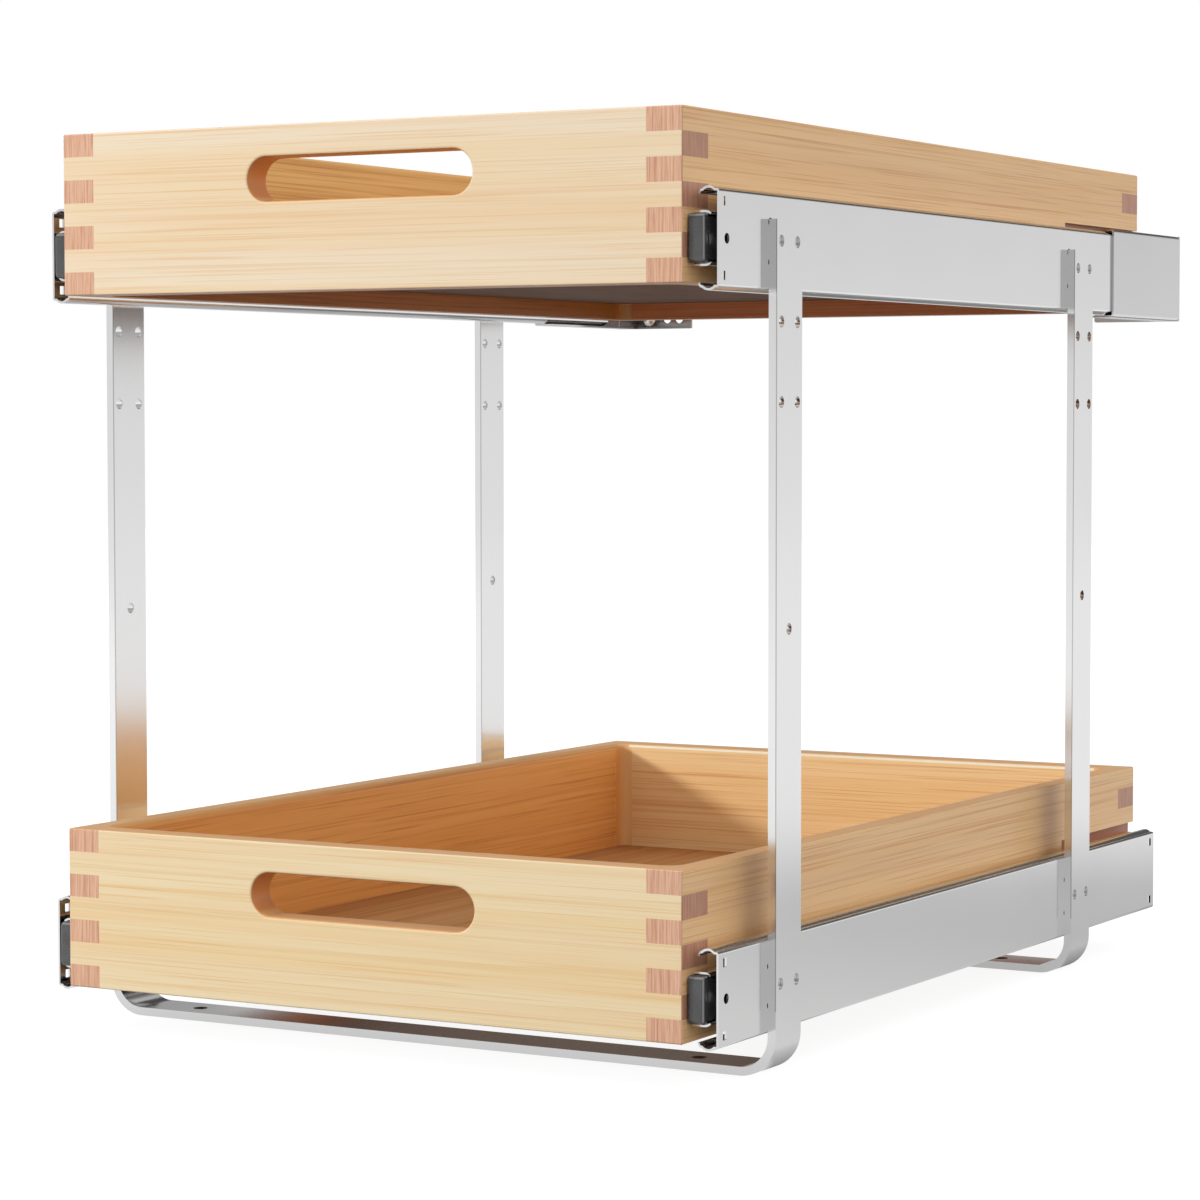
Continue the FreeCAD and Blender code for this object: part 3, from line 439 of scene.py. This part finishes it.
# Woods: the grain, the colours outside and inside, the shine, and the roughness at its least and most.
WOODS = {
    "end_wood": ("X", FRONT_PINE, INNER_END_PINE_WITH_SHADE, 0.35, (0.3, 0.4)),
    "side_wood": ("Y", SIDE_PINE, INNER_SIDE_PINE_WITH_SHADE, 0.35, (0.3, 0.4)),
    "bottom_wood": ("flat", BOTTOM_PINE, None, 0.1, (0.6, 0.7)),
}
finishes = {name: make_steel(name, *settings) for name, settings in STEELS.items()}
finishes["bumper_plastic"] = make_plastic("bumper_plastic")
finishes.update({name: make_wood(name, *settings) for name, settings in WOODS.items()})

slot_of = {entry["node"]: entry["material_slot"] for entry in frame["record"]["subparts"]}
for name, thing in nodes.items():
    thing.data.materials.clear()
    # The middle rails take the darker middle steel, as painted shade inside the rails.
    thing.data.materials.append(finishes["middle_steel" if "middle_rail" in name else slot_of[name]])


# Camera


# Fitted to the object's edges in the photo.
EYE = Vector((0.90460, FRONT_LEVEL - 1.36783, 0.29490))
YAW = math.radians(29.6548)
PITCH = math.radians(2.924)
ROLL = math.radians(0.045)
SENSOR = 36.0
FOCAL_PIXELS = 3611.1
PHOTO_WIDTH = 1200

ahead = Vector((-math.sin(YAW) * math.cos(PITCH), math.cos(YAW) * math.cos(PITCH), -math.sin(PITCH)))
turn = ahead.to_track_quat("-Z", "Y").to_matrix().to_4x4() @ Matrix.Rotation(-ROLL, 4, "Z")
camera = bpy.data.objects.new("camera", bpy.data.cameras.new("camera"))
scene.collection.objects.link(camera)
camera.matrix_world = Matrix.Translation(EYE) @ turn
camera.data.sensor_width = SENSOR
camera.data.lens = SENSOR * FOCAL_PIXELS / PHOTO_WIDTH
camera.data.clip_end = 50.0
scene.camera = camera


# World and floor


# A ramp goes from one place to the next, with the levels at both. In the world a place is a part of the
# direction, from -1 to 1, and on the floor it is in metres.
SKY = 0.98
SKY_ACROSS = (-1.0, 1.0, 0.9, 1.2)
# The sky in the metal: its levels by the upward part, a glow above the front, and its shade along the diagonal.
MIRRORED_BANDS = ((0.0, 0.92), (0.05, 0.8), (0.12, 0.72), (0.3, 0.1), (0.75, 0.1), (0.88, 1.4))
GLOW_UP = (0.12, 0.3, 0.0, 0.5)
GLOW_BACK = (-0.1, 0.15, 1.0, 0.0)
SKY_SHADE = (0.0, 0.43, 1.0, 0.7)

FLOOR_REACH = 6.0
FLOOR_DROP = 0.0002
FLOOR_BOUNCE = 0.14               # the part of the light that it returns
SHOWN_BOUNCE = 0.2                # the same for the floor that the camera sees
SHOWN_GLOW = 0.91
# The glow that lights the lower drawer's underside.
UNDER_ACROSS = (0.1, 0.15, 0.6, 0.0)
UNDER_ALONG = (0.2, 0.26, 1.0, 0.0)
# The floor in the metal: its glow far from the middle and in front, and its shade behind the object, behind the
# frames' crossbars and along the diagonal.
FAR_GLOW = (0.55, 0.95, 0.48, 0.86)
FRONT_GLOW = (-0.4, 0.25, 0.8, 0.48)
REAR_ACROSS = (0.19, 0.23, 0.15, 1.0)
REAR_ALONG = (0.25, 0.35, 1.0, 0.0)
CROSSBAR_ACROSS = (0.165, 0.195, 0.85, 0.0)
CROSSBAR_START = (0.01, 0.02)     # behind a frame's front edge
CROSSBAR_END = (0.08, 0.12)
FLOOR_SHADE = (0.03, 0.12, 1.0, 0.64)


def diagonal(tree, across, along):
    """A number that grows towards the front right and the rear left."""
    return tree.product(across, tree.product(along, -1.0))


def make_world():
    """White behind the object, bands in the metal, and a soft light that is strongest from the right."""
    world = bpy.data.worlds.new("world")
    scene.world = world
    tree = Tree(world)
    across, along, upward = tree.split("Generated")

    def background(strength):
        """A white sky."""
        return tree.node("Background", {"Color": grey(1.0), "Strength": strength}).outputs[0]

    bands = tree.node("ValToRGB", {"Fac": upward})
    stops = bands.color_ramp.elements
    ready = len(stops)
    for number, (place, level) in enumerate(MIRRORED_BANDS):
        stop = stops[number] if number < ready else stops.new(place)
        stop.position = place
        stop.color = (*grey(level), 1.0)
    glow = tree.product(tree.ramp(upward, *GLOW_UP), tree.ramp(along, *GLOW_BACK))
    mirrored = tree.product(tree.either(bands.outputs["Color"], glow),
                            tree.ramp(diagonal(tree, across, along), *SKY_SHADE))
    lit = tree.product(tree.ramp(across, *SKY_ACROSS), SKY)
    tree.node("OutputWorld", {"Surface": tree.by_ray(background(lit), background(mirrored), background(1.0))})


def make_floor():
    """A large pale floor that shows white, keeps a faint shadow and is shaded in the metal."""
    mesh = bpy.data.meshes.new("floor")
    corners = ((-1, -1), (1, -1), (1, 1), (-1, 1))
    mesh.from_pydata([(x * FLOOR_REACH, y * FLOOR_REACH, 0) for x, y in corners], [], [(0, 1, 2, 3)])
    floor = bpy.data.objects.new("floor", mesh)
    scene.collection.objects.link(floor)
    floor.location.z = -FLOOR_DROP
    material = bpy.data.materials.new("floor")
    tree = Tree(material)
    where = tree.node("TexCoord").outputs["Object"]
    from_middle = tree.node("VectorMath", {0: where}, operation="LENGTH").outputs["Value"]
    across, along, _ = tree.split("Object")
    sideways = tree.math("ABSOLUTE", across)
    lengthways = tree.math("ABSOLUTE", along)

    def painted(bounce, glow):
        """A floor that returns some of the light and glows."""
        plain = tree.node("BsdfDiffuse", {"Color": grey(bounce)}).outputs[0]
        light = tree.node("Emission", {"Strength": glow}).outputs[0]
        return tree.node("AddShader", {0: plain, 1: light}).outputs[0]

    def behind_edge(front):
        """1 just behind the front edge of a frame, else 0."""
        return tree.product(tree.ramp(along, *(front + reach for reach in CROSSBAR_START)),
                            tree.ramp(along, *(front + reach for reach in CROSSBAR_END), 1.0, 0.0))

    glow = tree.product(tree.either(tree.ramp(sideways, *REAR_ACROSS), tree.ramp(along, *REAR_ALONG)),
                        tree.either(tree.ramp(from_middle, *FAR_GLOW), tree.ramp(along, *FRONT_GLOW)))
    shade = tree.product(tree.either(*(behind_edge(front) for front in frame_fronts)),
                         tree.ramp(sideways, *CROSSBAR_ACROSS))
    lightness = tree.product(tree.opposite(shade), tree.ramp(diagonal(tree, across, along), *FLOOR_SHADE))
    under = tree.product(tree.ramp(sideways, *UNDER_ACROSS), tree.ramp(lengthways, *UNDER_ALONG))
    surface = tree.by_ray(painted(FLOOR_BOUNCE, under),
                          painted(FLOOR_BOUNCE, tree.product(glow, lightness)),
                          painted(SHOWN_BOUNCE, SHOWN_GLOW))
    tree.node("OutputMaterial", {"Surface": surface})
    mesh.materials.append(material)


def add_softbox(name, place, target, size, power):
    """A square lamp that faces a target, doesn't show in the metal and casts no shadow of the frames."""
    lamp = bpy.data.lights.new(name, "AREA")
    lamp.shape = "SQUARE"
    lamp.size = size
    lamp.energy = power
    holder = bpy.data.objects.new(name, lamp)
    scene.collection.objects.link(holder)
    holder.location = place
    holder.rotation_euler = (Vector(target) - Vector(place)).to_track_quat("-Z", "Y").to_euler()
    holder.visible_glossy = False
    frames = bpy.data.collections.new("frames_without_lamp_shadow")
    for frame_name in FRAMES:
        frames.objects.link(nodes[frame_name])
    for entry in frames.collection_objects:
        entry.light_linking.link_state = "EXCLUDE"
    holder.light_linking.blocker_collection = frames


make_world()
make_floor()
add_softbox("front_softbox", place=(-2.0, -2.5, 0.98), target=(0, 0, 0.2), size=0.3, power=57)
